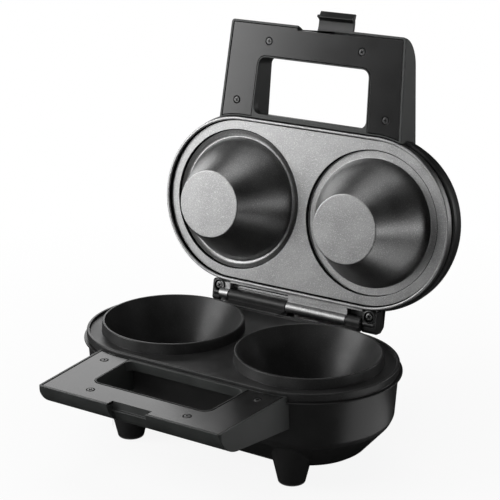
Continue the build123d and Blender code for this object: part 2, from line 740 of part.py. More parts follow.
def handle_shell(place, side_cut, notch, bolt_heights):
    """Hollow handle: walls, finger hole, columns for the cover screws and bosses for the bolts."""
    seat = cover_thickness + 0.1
    inner, outer = handle_overlap + 2 - plate_radius, -plate_radius - bolt_boss_reach
    hollow = place(handle_block(handle_wall)) - side_cut(handle_gap + handle_wall) - notch(notch_wall)
    hollow -= place(finger_hole(finger_wall, handle_back - 8, -1, 41))
    for column in screw_columns(3.8, seat, 40):
        hollow -= place(column)
    for x in (-bolt_x, bolt_x):
        for z in bolt_heights:
            hollow -= bar(bolt_boss_radius, outer, inner, x, z)
    shell = place(handle_block(0)) - side_cut(handle_gap) - notch(0) - hollow
    shell -= handle_cover(place, side_cut, notch, 0.0, seat)
    shell -= place(finger_hole(0, finger_back, -1, bar_depth))
    shell -= place(finger_hole(0, handle_back - 8, bar_depth, 41))
    for column in screw_columns(screw_hole, -1, 12):
        shell -= place(column)
    for x in (-bolt_x, bolt_x):
        for z in bolt_heights:
            shell -= bar(plate_screw_hole, outer + 2, inner, x, z)
    return shell


def handle_cover(place, side_cut, notch, gap, depth):
    """Flat cover let into the mating face of a handle; gap is its clearance all round."""
    cover = place(extrude(plan_face(cover_inset + gap), depth))
    cover -= place(finger_hole(finger_rim + gap, handle_back - 8, -1, 41))
    cover -= side_cut(handle_gap + finger_rim + gap)
    return cover - notch(gap)


def drilled_cover(place, side_cut, notch):
    """Handle cover with counterbored holes for its screws."""
    cover = handle_cover(place, side_cut, notch, cover_gap, cover_thickness)
    for bore in screw_columns(screw_head + 0.5, -1, 1.2) + screw_columns(screw_hole, -1, 5):
        cover -= place(bore)
    return cover


def cover_screws(place):
    """Screws of a handle cover, heads just under its face."""
    return [place(screw(x, y, 1.2, -1, 9, height=1.1)) for x, y in handle_screws]


def handle_bolts(seat, heights):
    """Screws from inside a housing through its wall into the handle."""
    bolts = []
    for x in (-bolt_x, bolt_x):
        for z in heights:
            drawn = screw(0, 0, 0, 1, bolt_length, plate_screw_shank, plate_screw_head, 2.2)
            bolts.append(Pos(x, seat, z) * Rot(-90, 0, 0) * drawn)
    return bolts


def latch():
    """Curved latch plate with its pivot knuckle, hook lip and thumb tab, latched."""
    outer = nose_radius - latch_flush
    nose = Pos(nose_y, nose_z)
    pivot = Pos(latch_y, latch_z)
    start = math.atan2(latch_z - nose_z, latch_y - nose_y)
    end = math.radians(latch_end_angle)
    sector = [(nose_y, nose_z)]
    for share in range(5):
        angle = start + (end - start) * share / 4
        sector.append((nose_y + 40 * math.cos(angle), nose_z + 40 * math.sin(angle)))
    plate = (nose * Circle(outer) - nose * Circle(outer - latch_thickness)) & closed_face(sector)
    hook_inner = hook_radius + hook_gap
    hook = pivot * Circle(hook_inner + hook_thickness) - pivot * Circle(hook_inner)
    ends = (catch_y - 3.6, catch_top - 12.5, catch_top + 3.5)
    hook &= closed_face([(ends[0], ends[1]), (hook_tip, ends[1]), (hook_tip, ends[2]), (ends[0], ends[2])])
    section = plate + hook + closed_face(latch_tab) + pivot * Circle(latch_knuckle)
    section -= pivot * Circle(latch_pin_radius + running_gap)
    return extrude(Plane.YZ * section, latch_half, both=True)


def opened(shape):
    """Lid piece, drawn shut, swung to its resting open position."""
    return shape.rotate(hinge_axis, -open_angle)


def base_parts():
    """Pieces fixed to the base."""
    screw_seat = lower_back - post_drop - boss_web
    straps = [tube_clip(x, side * lower_heater_radius, side, tube_radius, lower_back, -1)
              for x in clamp_x for side in (-1, 1)]
    bosses = [(x, y) for x in (-post_x, post_x) for y in (-post_y, post_y)]
    shield = racetrack(shield_radius, shield_height, shield_height + shield_lip)
    shield -= racetrack(shield_radius - shield_thickness, shield_height + shield_thickness, lower_back)
    washers = []
    for x, y in bosses:
        shield -= cylinder(boss_radius + 0.2, floor_height, lower_back, x, y)
        ring_low = shield_height + shield_thickness
        washers.append(cylinder(boss_radius + 1.7, ring_low, ring_low + 0.6, x, y)
                       - cylinder(boss_radius, ring_low - 1, ring_low + 2, x, y))
    shield &= racetrack(shield_radius, floor_height, lower_back)
    body = cylinder(8, lower_back - 9.8, lower_back - 0.8, 0, thermostat_y)
    ends = (thermostat_y - thermostat_screws - 3.5, thermostat_y + thermostat_screws + 3.5)
    body += block(-4, 4, ends[0], ends[1], lower_back - 0.8, lower_back)
    for side in (-1, 1):
        ends = sorted((side * 3, side * 3.8))
        body += block(ends[0], ends[1], thermostat_y - 3, thermostat_y + 3, lower_back - 16, lower_back - 9.8)
        body -= cylinder(screw_hole, lower_back - 14, rim_height, 0, thermostat_y + side * thermostat_screws)
    fuse_z = lower_back - touch_gap - fuse_radius
    fuse = rod(fuse_radius, -7, 7, fuse_y, fuse_z) + rod(0.5, -12, 12, fuse_y, fuse_z)
    foot_low, foot_high = block_low + block_foot, block_low + block_foot_top
    terminal = block(5 - block_x, block_x - 5, -8, 8, block_low, block_top)
    terminal += block(-block_x - 4, block_x + 4, -4, 4, foot_low, foot_high)
    for side in (-1, 1):
        terminal -= cylinder(screw_hole, foot_low - 1, foot_high + 1, side * block_x, 0)
    for x in (-13.5, -4.5, 4.5, 13.5):
        terminal -= cylinder(2.2, block_top - 5, block_top + 1, x, 0)
        terminal -= bar(1.6, -9, 9, x, block_low + 3.3)
    wall_in = gland_y - gland_wall
    gland = bar(gland_body, wall_in - 3, gland_y + 1, 0, gland_z)
    gland += bar(gland_flange, gland_y, gland_y + 2.4, 0, gland_z)
    gland -= bar(gland_bore, wall_in - 12, gland_y + 13, 0, gland_z)
    nut = bar(gland_flange, wall_in - 2, wall_in, 0, gland_z) - bar(gland_body, wall_in - 12, gland_y, 0, gland_z)
    pads = [cylinder(pad_radius, 0, pad_proud + pad_depth, x, y) for x, y in foot_places()]
    small = [screw(x, y, lower_back - clamp_strap, -1, 3.2) for x, y in lower_screw_places()]
    lower = (on_base, base_side_cut, base_notch)
    return {
        "base_housing": base_housing(),
        "lower_plate": lower_plate(),
        "lower_heater": heater(lower_heater_radius, lower_back - touch_gap - tube_radius),
        "lower_heater_clamps": straps,
        "lower_plate_screws": small,
        "lower_heat_shield": shield,
        "shield_retainers": washers,
        "thermostat": body,
        "thermal_fuse": fuse,
        "fuse_clip": tube_clip(0, fuse_y, -1, fuse_radius, lower_back, -1),
        "terminal_block": terminal,
        "terminal_screws": [screw(x, 0, foot_high, 1, 7) for x in (-block_x, block_x)],
        "cable_gland": gland,
        "gland_nut": nut,
        "foot_pads": pads,
        "base_screws": [screw(x, y, screw_seat, -1, 18, plate_screw_shank, plate_screw_head, 2.2)
                        for x, y in bosses],
        "hinge_pin": rod(pin_radius, -pin_half, pin_half, hinge_y, hinge_z),
        "lower_handle_shell": handle_shell(*lower, lower_bolts),
        "lower_handle_cover": drilled_cover(*lower),
        "lower_cover_screws": cover_screws(on_base),
        "lower_handle_bolts": handle_bolts(lower_bolt_seat, lower_bolts),
    }


def lid_parts():
    """Pieces that swing with the lid, drawn shut."""
    tube_z = heater_seat + touch_gap + tube_radius
    straps = [tube_clip(x, side * upper_heater_radius, side, tube_radius, heater_seat, 1)
              for x in clamp_x for side in (-1, 1)]
    small = [screw(x, y, z + (clamp_strap if z < shield_seat else shield_thickness), 1,
                   3.2 if z < shield_seat else 7.5) for x, y, z in upper_screw_places()]
    shield = racetrack(upper_shield_radius, shield_seat, shield_seat + shield_thickness)
    for y in shield_post_y():
        shield -= cylinder(screw_hole, upper_back, lid_height, 0, y)
    lens = cylinder(lens_radius, lid_height - skin - 0.1, lid_height + 0.6)
    lens += cylinder(lens_radius + 1.5, lid_height - skin - 1.3, lid_height - skin - 0.05)
    holder = cylinder(lens_radius + 1.5, lamp_low, lid_height - skin - 1.35)
    holder -= cylinder(2.6, lamp_low + 2, lid_height)
    lamp = cylinder(2.2, lamp_low + 2, lid_height - 5)
    upper = (on_lid, lid_side_cut, lid_notch)
    shell = handle_shell(*upper, upper_bolts)
    shell -= rod(latch_pin_radius + running_gap, -latch_pin_half - 0.1, latch_pin_half + 0.1, latch_y, latch_z)
    lamps = [Pos(side * lamp_x, lamp_y, 0) for side in (-1, 1)]
    return {
        "lid_housing": lid_housing(),
        "upper_plate": upper_plate(),
        "upper_heater": heater(upper_heater_radius, tube_z),
        "upper_heater_clamps": straps,
        "upper_plate_screws": small,
        "upper_heat_shield": shield,
        "power_light": lamps[0] * lens,
        "ready_light": lamps[1] * lens,
        "lamp_holders": [place * holder for place in lamps],
        "indicator_lamps": [place * lamp for place in lamps],
        "upper_handle_shell": shell,
        "upper_handle_cover": drilled_cover(*upper),
        "upper_cover_screws": cover_screws(on_lid),
        "upper_handle_bolts": handle_bolts(upper_bolt_seat, upper_bolts),
        "hinge_covers": [hinge_cover(-1, ear_left_inner), hinge_cover(1, ear_right_inner)],
        "ear_screws": [screw(side * ear_screw_x, ear_screw_y, ear_seat, -1, 12, plate_screw_shank,
                             plate_screw_head - 0.3, 1.8) for side in (-1, 1)],
        "latch_pin": rod(latch_pin_radius, -latch_pin_half, latch_pin_half, latch_y, latch_z),
        "latch": latch().rotate(latch_axis, -latch_swing),
    }


def write(name, shape):
    """Write one piece, or one set of identical pieces, under its name."""
    solids = [shape] if not isinstance(shape, list) else shape
    solids = [solid for one in solids for solid in one.solids()]
    body = solids[0] if len(solids) == 1 else Compound(children=solids)
    body.label = name
    export_step(body, "parts/" + name + ".step")


os.makedirs("parts", exist_ok=True)
for name, shape in base_parts().items():
    write(name, shape)
for name, shape in lid_parts().items():
    swung = [opened(one) for one in shape] if isinstance(shape, list) else opened(shape)
    write(name, swung)
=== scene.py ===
# %% [markdown]
# A waffle bowl maker, standing open. The solids of its parts come from the frame, one object each, in
# metres, and every one rides on a moving body: the base, the lid or the latch. This lesson models the
# pieces that show, gives each one its finish, and sets up the studio.

# %% Load the frame
import json
import math
import bpy
import bmesh
from mathutils import Matrix, Vector


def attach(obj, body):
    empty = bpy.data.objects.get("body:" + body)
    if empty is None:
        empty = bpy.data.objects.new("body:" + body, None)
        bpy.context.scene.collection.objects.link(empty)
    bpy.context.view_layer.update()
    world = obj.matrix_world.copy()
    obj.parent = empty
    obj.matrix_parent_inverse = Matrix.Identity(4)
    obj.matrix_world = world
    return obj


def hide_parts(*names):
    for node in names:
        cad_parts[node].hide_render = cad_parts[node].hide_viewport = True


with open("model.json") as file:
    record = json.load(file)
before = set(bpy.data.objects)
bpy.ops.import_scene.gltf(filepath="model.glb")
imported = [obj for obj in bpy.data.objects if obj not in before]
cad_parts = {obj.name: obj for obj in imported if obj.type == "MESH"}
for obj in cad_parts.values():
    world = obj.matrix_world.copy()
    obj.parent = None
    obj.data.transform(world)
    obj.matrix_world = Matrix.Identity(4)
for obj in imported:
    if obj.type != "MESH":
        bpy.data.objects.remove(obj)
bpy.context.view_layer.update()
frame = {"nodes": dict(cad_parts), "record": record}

# %% [markdown]
# The photograph looks down on the cooker from the front right. The camera stands a little over a metre
# away with a long lens, so the two handles stay nearly parallel. An object is aimed by turning its own
# minus Z axis along a direction, and the camera also leans by a quarter of a degree.

# %% Camera
def aim(item, place, target, lean=0.0):
    """Put a camera or lamp at a place and point it at a target."""
    facing = (Vector(target) - Vector(place)).to_track_quat("-Z", "Y").to_matrix().to_4x4()
    item.matrix_world = Matrix.Translation(place) @ facing @ Matrix.Rotation(lean, 4, "Z")


camera_data = bpy.data.cameras.new("photo_camera")
camera_data.sensor_width = 36.0
camera_data.lens = 110.22
camera = bpy.data.objects.new("photo_camera", camera_data)
bpy.context.scene.collection.objects.link(camera)
aim(camera, (0.5856, -0.9134, 0.5100), (0.00919, 0.0, 0.15516), math.radians(0.268))
bpy.context.scene.camera = camera
bpy.context.scene.view_settings.view_transform = "Standard"
print("camera", [round(v, 3) for v in camera.location], "lens", camera_data.lens)

# %% [markdown]
# Black plastic and coated metal show little colour of their own. What is seen in them is the room: broad
# soft lamps as grey sheens, and dark cloths as black. Photographers of such pieces hang black cloths round
# the table, just outside the picture, and so does this studio, with one more overhead. Others lie on the
# table and leave a strip of white bare on the right, which draws the upright sheen on the body. No cloth
# is seen by the camera, and the floor and the world behind it are white to it.

# %% Studio
def lamp(name, place, target, width, height, watts):
    """A soft rectangular lamp aimed at a target."""
    data = bpy.data.lights.new(name, "AREA")
    data.shape, data.size, data.size_y, data.energy = "RECTANGLE", width, height, watts
    item = bpy.data.objects.new(name, data)
    bpy.context.scene.collection.objects.link(item)
    aim(item, place, target)
    return item


def card(name, place, target, width, height, colour):
    """A flat sheet of the studio, facing a target."""
    bpy.ops.object.select_all(action="DESELECT")
    bpy.ops.mesh.primitive_plane_add(size=1.0)
    sheet = bpy.context.object
    sheet.name = name
    sheet.data.materials.append(bpy.data.materials.new(name))
    sheet.data.materials[0].use_nodes = True
    shader = sheet.data.materials[0].node_tree.nodes["Principled BSDF"]
    shader.inputs["Base Color"].default_value = (*colour, 1.0)
    shader.inputs["Roughness"].default_value = 0.9
    shader.inputs["Specular IOR Level"].default_value = 0.1
    aim(sheet, place, target)
    sheet.matrix_world = sheet.matrix_world @ Matrix.Diagonal((width, height, 1.0, 1.0))
    return sheet


def whiten(material):
    """Lift a floor to white in the picture and in reflections: partly near the piece, wholly far from it."""
    tree = material.node_tree
    seen_by = tree.nodes.new("ShaderNodeLightPath")
    glow = tree.nodes.new("ShaderNodeEmission")
    dark = tree.nodes.new("ShaderNodeBsdfDiffuse")
    dark.inputs["Color"].default_value = (0.8, 0.8, 0.8, 1.0)
    place = tree.nodes.new("ShaderNodeNewGeometry")
    far = tree.nodes.new("ShaderNodeVectorMath")
    far.operation = "LENGTH"
    fade = tree.nodes.new("ShaderNodeMapRange")
    for name, value in (("From Min", 0.1), ("From Max", 0.6), ("To Min", 0.9), ("To Max", 1.0)):
        fade.inputs[name].default_value = value
    eyes = tree.nodes.new("ShaderNodeMath")
    mirrors = tree.nodes.new("ShaderNodeMath")
    eyes.operation = mirrors.operation = "MAXIMUM"
    share = tree.nodes.new("ShaderNodeMath")
    share.operation = "MULTIPLY"
    blend = tree.nodes.new("ShaderNodeMixShader")
    tree.links.new(place.outputs["Position"], far.inputs[0])
    tree.links.new(far.outputs["Value"], fade.inputs["Value"])
    tree.links.new(seen_by.outputs["Is Camera Ray"], eyes.inputs[0])
    tree.links.new(seen_by.outputs["Is Glossy Ray"], eyes.inputs[1])
    tree.links.new(eyes.outputs[0], mirrors.inputs[0])
    tree.links.new(seen_by.outputs["Is Transmission Ray"], mirrors.inputs[1])
    tree.links.new(mirrors.outputs[0], share.inputs[0])
    tree.links.new(fade.outputs["Result"], share.inputs[1])
    tree.links.new(share.outputs[0], blend.inputs["Fac"])
    tree.links.new(dark.outputs[0], blend.inputs[1])
    tree.links.new(glow.outputs[0], blend.inputs[2])
    tree.links.new(blend.outputs[0], tree.nodes["Material Output"].inputs["Surface"])


middle = (0.0, 0.0, 0.15)
lamp("front_left_lamp", (-1.12, -0.92, 0.62), middle, 0.9, 1.2, 21.0)
lamp("back_left_lamp", (-0.98, 0.95, 0.50), middle, 0.9, 0.9, 5.5)
lamp("overhead_lamp", (0.0, 0.1, 1.9), middle, 1.2, 1.2, 6.4)
lamp("right_lamp", (1.3, 0.1, 0.16), middle, 0.25, 0.3, 1.2)
lamp("back_right_lamp", (0.85, 0.95, 0.34), middle, 0.35, 0.6, 2.2)
lamp("front_lamp", (0.15, -1.7, 0.35), middle, 0.5, 0.5, 2.5)
floor = card("floor", (0.0, 0.0, 0.0), (0.0, 0.0, -1.0), 14.0, 14.0, (0.8, 0.8, 0.8))
whiten(floor.data.materials[0])
cloths = [((0.0, 2.1, 1.05), 4.3, 2.2), ((2.1, 0.0, 1.05), 4.3, 2.2), ((0.0, -2.1, 1.05), 4.3, 2.2),
          ((-2.1, 0.0, 1.05), 4.3, 2.2), ((0.0, 0.0, 2.2), 4.3, 4.3), ((-1.0, 0.0, 0.002), 2.3, 4.3),
          ((1.15, -1.1, 0.002), 2.0, 2.1), ((1.15, 1.12, 0.002), 2.0, 2.04), ((1.3, 0.025, 0.002), 1.7, 0.15)]
for number, (place, width, height) in enumerate(cloths):
    facing = (0.0, 0.0, place[2]) if number < 4 else (place[0], place[1], 1.0)
    cloth = card("black_cloth_%d" % number, place, facing, width, height, (0.012, 0.012, 0.012))
    cloth.visible_camera = cloth.visible_diffuse = cloth.visible_shadow = False

# %% World
world = bpy.context.scene.world or bpy.data.worlds.new("studio")
bpy.context.scene.world = world
world.use_nodes = True
sky = world.node_tree
sky.nodes.clear()
path = sky.nodes.new("ShaderNodeLightPath")
seen = sky.nodes.new("ShaderNodeMath")
seen.operation = "MAXIMUM"
either = sky.nodes.new("ShaderNodeMath")
either.operation = "MAXIMUM"
strength = sky.nodes.new("ShaderNodeMapRange")
strength.inputs["To Min"].default_value = 0.20
strength.inputs["To Max"].default_value = 1.0
background = sky.nodes.new("ShaderNodeBackground")
background.inputs["Color"].default_value = (1.0, 1.0, 1.0, 1.0)
sky.links.new(path.outputs["Is Camera Ray"], seen.inputs[0])
sky.links.new(path.outputs["Is Glossy Ray"], seen.inputs[1])
sky.links.new(seen.outputs[0], either.inputs[0])
sky.links.new(path.outputs["Is Transmission Ray"], either.inputs[1])
sky.links.new(either.outputs[0], strength.inputs["Value"])
sky.links.new(strength.outputs["Result"], background.inputs["Strength"])
sky.links.new(background.outputs[0], sky.nodes.new("ShaderNodeOutputWorld").inputs["Surface"])
print("world: white to the eye and in reflections")

# %% [markdown]
# Each finish is a few node textures on Object coordinates, so a pattern stays where it is when the lid
# swings. A slow noise shifts the colour and the gloss a little, as handling and moulding do, and a fine one
# gives the grain that raises or pits the surface. Speckled coatings mix in a second colour by another noise.

# %% Finishes
def finish(name, dark, light, rough, grain, metallic=0.0, specular=0.5, patch=60.0, speck=None, coat=0.0):
    """A procedural finish: rough (low, high), grain (scale, depth in mm), speck (scale, share, colour)."""
    material = bpy.data.materials.new(name)
    material.use_nodes = True
    tree = material.node_tree
    shader = tree.nodes["Principled BSDF"]
    shader.inputs["Metallic"].default_value = metallic
    shader.inputs["Specular IOR Level"].default_value = specular
    shader.inputs["Coat Weight"].default_value = coat
    shader.inputs["Coat Roughness"].default_value = 0.12
    place = tree.nodes.new("ShaderNodeTexCoord")
    patches = tree.nodes.new("ShaderNodeTexNoise")
    patches.inputs["Scale"].default_value = patch
    patches.inputs["Detail"].default_value = 4.0
    grains = tree.nodes.new("ShaderNodeTexNoise")
    grains.inputs["Scale"].default_value = grain[0]
    grains.inputs["Detail"].default_value = 2.0
    colours = tree.nodes.new("ShaderNodeValToRGB")
    colours.color_ramp.elements[0].position, colours.color_ramp.elements[1].position = 0.35, 0.65
    colours.color_ramp.elements[0].color = (*dark, 1.0)
    colours.color_ramp.elements[1].color = (*light, 1.0)
    gloss = tree.nodes.new("ShaderNodeMapRange")
    gloss.inputs["From Min"].default_value, gloss.inputs["From Max"].default_value = 0.3, 0.7
    gloss.inputs["To Min"].default_value, gloss.inputs["To Max"].default_value = rough
    relief = tree.nodes.new("ShaderNodeBump")
    relief.inputs["Distance"].default_value = grain[1] / 1000
    relief.inputs["Strength"].default_value = 0.6
    for texture in (patches, grains):
        tree.links.new(place.outputs["Object"], texture.inputs["Vector"])
    tree.links.new(patches.outputs[0], colours.inputs["Fac"])
    tree.links.new(patches.outputs[0], gloss.inputs["Value"])
    tree.links.new(grains.outputs[0], relief.inputs["Height"])
    tree.links.new(gloss.outputs["Result"], shader.inputs["Roughness"])
    tree.links.new(relief.outputs["Normal"], shader.inputs["Normal"])
    colour = colours.outputs["Color"]
    if speck:
        flecks = tree.nodes.new("ShaderNodeTexNoise")
        flecks.inputs["Scale"].default_value = speck[0]
        flecks.inputs["Detail"].default_value = 1.0
        share = tree.nodes.new("ShaderNodeMapRange")
        share.inputs["From Min"].default_value = 0.62 - speck[1]
        share.inputs["From Max"].default_value = 0.72 - speck[1]
        mixed = tree.nodes.new("ShaderNodeMix")
        mixed.data_type = "RGBA"
        mixed.inputs["B"].default_value = (*speck[2], 1.0)
        tree.links.new(place.outputs["Object"], flecks.inputs["Vector"])
        tree.links.new(flecks.outputs[0], share.inputs["Value"])
        tree.links.new(share.outputs["Result"], mixed.inputs["Factor"])
        tree.links.new(colour, mixed.inputs["A"])
        colour = mixed.outputs["Result"]
    tree.links.new(colour, shader.inputs["Base Color"])
    return material


def grey(value, tint=0.0):
    """A grey of this strength, a touch green for a positive tint."""
    return (value * (1 - tint), value, value * (1 - tint / 2))


finishes = {
    "housing_plastic": finish("satin_housing_plastic", grey(0.013), grey(0.016), (0.36, 0.40), (900, 0.03)),
    "handle_plastic": finish("grained_handle_plastic", grey(0.023, 0.08), grey(0.031, 0.08),
                             (0.42, 0.52), (1300, 0.09)),
    "cover_plastic": finish("smooth_cover_plastic", grey(0.009), grey(0.012),
                            (0.20, 0.225), (1500, 0.006), specular=0.45),
    "lower_casting": finish("coated_lower_casting", grey(0.016), grey(0.022), (0.36, 0.46), (1400, 0.05),
                            specular=0.4, speck=(1800, 0.0, grey(0.05))),
    # The lid plate has the same dark coating as the base plate; its speckle is its own, and its lighter grey is
    # painted sheen.
    "upper_casting": finish("upper_casting_painted_sheen", grey(0.28), grey(0.33), (0.38, 0.44), (1500, 0.08),
                            metallic=1.0, speck=(1500, 0.06, grey(0.46))),
    "pin_steel": finish("drawn_pin_steel", grey(0.32), grey(0.42), (0.22, 0.34), (700, 0.02), metallic=1.0),
    "screw_steel": finish("dulled_screw_steel", grey(0.11), grey(0.16),
                          (0.24, 0.36), (1200, 0.02), metallic=1.0),
    "black_screw_steel": finish("blackened_screw_steel", grey(0.07), grey(0.11),
                                (0.26, 0.36), (1200, 0.02), metallic=0.8),
    "bolt_steel": finish("zinc_bolt_steel", (0.40, 0.40, 0.36), (0.52, 0.51, 0.46),
                         (0.30, 0.45), (900, 0.03), metallic=1.0),
    "heater_steel": finish("scaled_heater_steel", (0.14, 0.12, 0.10), (0.28, 0.25, 0.22),
                           (0.40, 0.60), (800, 0.04), metallic=0.9),
    "strap_steel": finish("rolled_strap_steel", grey(0.38), grey(0.50),
                          (0.32, 0.45), (600, 0.03), metallic=1.0),
    "shield_sheet": finish("rolled_shield_sheet", grey(0.55), grey(0.66),
                           (0.28, 0.40), (300, 0.05), metallic=1.0),
    "terminal_plastic": finish("cream_terminal_plastic", (0.55, 0.51, 0.42), (0.62, 0.58, 0.49),
                               (0.45, 0.55), (900, 0.03)),
    "thermostat_steel": finish("drawn_thermostat_steel", grey(0.45), grey(0.55),
                               (0.25, 0.35), (900, 0.02), metallic=1.0),
    "fuse_case": finish("tinned_fuse_case", (0.55, 0.52, 0.45), (0.62, 0.60, 0.52),
                        (0.30, 0.40), (900, 0.02), metallic=1.0),
    "gland_plastic": finish("black_gland_plastic", grey(0.013), grey(0.02), (0.40, 0.50), (1200, 0.04)),
    "pad_rubber": finish("black_pad_rubber", grey(0.016), grey(0.024), (0.70, 0.80), (1000, 0.08)),
    "red_lens": finish("red_lens_plastic", (0.42, 0.010, 0.008), (0.52, 0.016, 0.012),
                       (0.10, 0.16), (500, 0.01), coat=0.5),
    "green_lens": finish("green_lens_plastic", (0.010, 0.30, 0.04), (0.02, 0.40, 0.07),
                         (0.10, 0.16), (500, 0.01), coat=0.5),
    "lamp_glass": finish("clouded_lamp_glass", (0.60, 0.58, 0.52), (0.70, 0.68, 0.62),
                         (0.10, 0.20), (600, 0.01), coat=0.6),
    "latch_plastic": finish("grained_latch_plastic", grey(0.014), grey(0.022), (0.34, 0.42), (1200, 0.05)),
    # Near-black finish for the faces of grooves, recesses and seats: painted shade.
    "painted_shade": finish("painted_groove_shade", grey(0.004), grey(0.006), (0.75, 0.85), (900, 0.02), specular=0.1),
}
for part in frame["record"]["subparts"]:
    solid = frame["nodes"][part["node"]]
    solid.data.materials.clear()
    solid.data.materials.append(finishes[part["material_slot"]])

# %% [markdown]
# Most pieces here are moulded or cast, so they begin as the outline that a maker would draw. In Blender a
# drawn line can start as a plane merged to a single vertex, which is then extruded from point to point.
# Filled and extruded, the line is a block; spun round an axis, it is a turned body. The mouldings with
# two round ends are spun whole and then pulled apart along X, which stretches one quad on each side into
# the straight flank. Sizes are written in millimetres, for the lid shut, and scaled at the end.

# %% Drawing tools
half_pitch = 61.0              # from the middle to the axis of a mould
hinge_line = (78.6, 83.2)      # Y and Z of the lid's hinge
latch_line = (-127.5, 95.7)    # Y and Z of the latch's pivot, lid shut


def put_down():
    """Leave edit mode with nothing selected."""
    if bpy.context.mode != "OBJECT":
        bpy.ops.object.mode_set(mode="OBJECT")
    bpy.ops.object.select_all(action="DESELECT")


def hold(piece):
    """Make a piece the only selected and active one."""
    put_down()
    piece.select_set(True)
    bpy.context.view_layer.objects.active = piece


def rounded(corners, steps=6):
    """Points of an outline; a corner given as (u, v, radius) becomes an arc."""
    points = []
    for index, corner in enumerate(corners):
        here = Vector(corner[:2])
        if len(corner) < 3:
            points.append(here)
            continue
        back = (Vector(corners[index - 1][:2]) - here).normalized()
        on = (Vector(corners[(index + 1) % len(corners)][:2]) - here).normalized()
        half = back.angle(on) / 2
        centre = here + (back + on).normalized() * corner[2] / math.sin(half)
        first = here + back * corner[2] / math.tan(half) - centre
        turn = first.angle_signed(here + on * corner[2] / math.tan(half) - centre)
        points += [centre + Matrix.Rotation(-turn * share / steps, 2) @ first for share in range(steps + 1)]
    return [tuple(point) for point in points]


def drawn_line(name, points, closed=True):
    """A line of edges through 3-D points, started from a plane merged to one vertex; stays in edit mode."""
    put_down()
    bpy.ops.mesh.primitive_plane_add(size=0.2)
    piece = bpy.context.object
    piece.name = piece.data.name = name
    piece.data.materials.append(None)
    piece.data.materials.append(None)
    bpy.ops.object.mode_set(mode="EDIT")
    bpy.ops.mesh.select_all(action="SELECT")
    bpy.ops.mesh.merge(type="CENTER")
    bpy.ops.transform.translate(value=points[0])
    for here, there in zip(points, points[1:] + (points[:1] if closed else [])):
        bpy.ops.mesh.extrude_region_move(TRANSFORM_OT_translate={"value": Vector(there) - Vector(here)})
    bpy.ops.mesh.select_all(action="SELECT")
    bpy.ops.mesh.remove_doubles(threshold=0.001)
    return piece


def face_out():
    """Turn every face outwards and leave edit mode."""
    bpy.ops.mesh.select_all(action="SELECT")
    bpy.ops.mesh.normals_make_consistent(inside=False)
    bpy.ops.object.mode_set(mode="OBJECT")


def drawn_block(name, outline, low, high, along="Z"):
    """An outline filled and extruded along Z, or an outline in Y and Z along X, between two stations."""
    points = [(low, u, v) if along == "X" else (u, v, low) for u, v in rounded(outline)]
    piece = drawn_line(name, points)
    bpy.ops.mesh.edge_face_add()
    reach = (high - low, 0, 0) if along == "X" else (0, 0, high - low)
    bpy.ops.mesh.extrude_region_move(TRANSFORM_OT_translate={"value": reach})
    face_out()
    return piece


def choose(test):
    """Select the vertices of the mesh in edit mode that pass a test."""
    bpy.ops.mesh.select_mode(type="VERT")
    bpy.ops.mesh.select_all(action="DESELECT")
    mesh = bmesh.from_edit_mesh(bpy.context.object.data)
    for vertex in mesh.verts:
        vertex.select = test(vertex)
    mesh.select_flush(True)
    bmesh.update_edit_mesh(bpy.context.object.data)


def turned_body(name, profile, place=(0, 0), steps=96, along="Z"):
    """A closed (radius, height) profile spun round an upright axis, or round one along X through (y, z)."""
    if along == "X":
        points = [(v, place[0] + u, place[1]) for u, v in rounded(profile)]
        centre, axis = (0, place[0], place[1]), (1, 0, 0)
    else:
        points = [(place[0] + u, place[1], v) for u, v in rounded(profile)]
        centre, axis = (place[0], place[1], 0), (0, 0, 1)
    piece = drawn_line(name, points)
    bpy.ops.mesh.spin(steps=steps, angle=2 * math.pi, center=centre, axis=axis)
    bpy.ops.mesh.select_all(action="SELECT")
    bpy.ops.mesh.remove_doubles(threshold=0.001)
    face_out()
    return piece


def long_body(name, profile, closed=False, steps=126):
    """A profile spun and pulled apart by the mould pitch; an open profile gets its two ends filled."""
    piece = drawn_line(name, [(u, 0, v) for u, v in rounded(profile)], closed)
    bpy.ops.mesh.spin(steps=steps, angle=2 * math.pi, center=(0, 0, 0), axis=(0, 0, 1))
    bpy.ops.mesh.select_all(action="SELECT")
    bpy.ops.mesh.remove_doubles(threshold=0.001)
    for side in (-1, 1):
        choose(lambda vertex: vertex.co.x * side > 0)
        bpy.ops.transform.translate(value=(side * half_pitch, 0, 0))
    if not closed:
        for height in (profile[0][1], profile[-1][1]):
            choose(lambda vertex: vertex.is_boundary and abs(vertex.co.z - height) < 0.001)
            bpy.ops.mesh.edge_face_add()
    face_out()
    return piece


def combine(piece, tool, way, keep=False, painted_shade=False):
    """Cut, join or intersect a piece with a tool; on request the tool's faces take the near-black second
    finish, painted shade.
    """
    hold(piece)
    for face in tool.data.polygons:
        face.material_index = int(painted_shade)
    step = piece.modifiers.new(way.lower(), "BOOLEAN")
    step.operation, step.object, step.solver = way, tool, "EXACT"
    bpy.ops.object.modifier_apply(modifier=step.name)
    if not keep:
        bpy.data.objects.remove(tool)


def copied(piece, name):
    """A copy with a mesh of its own."""
    twin = piece.copy()
    twin.data = piece.data.copy()
    twin.name = twin.data.name = name
    bpy.context.scene.collection.objects.link(twin)
    return twin


def moved(piece, matrix):
    """Move a mesh, with its faces kept outwards, and leave its object at the origin."""
    piece.data.transform(matrix)
    if matrix.determinant() < 0:
        piece.data.flip_normals()
    return piece


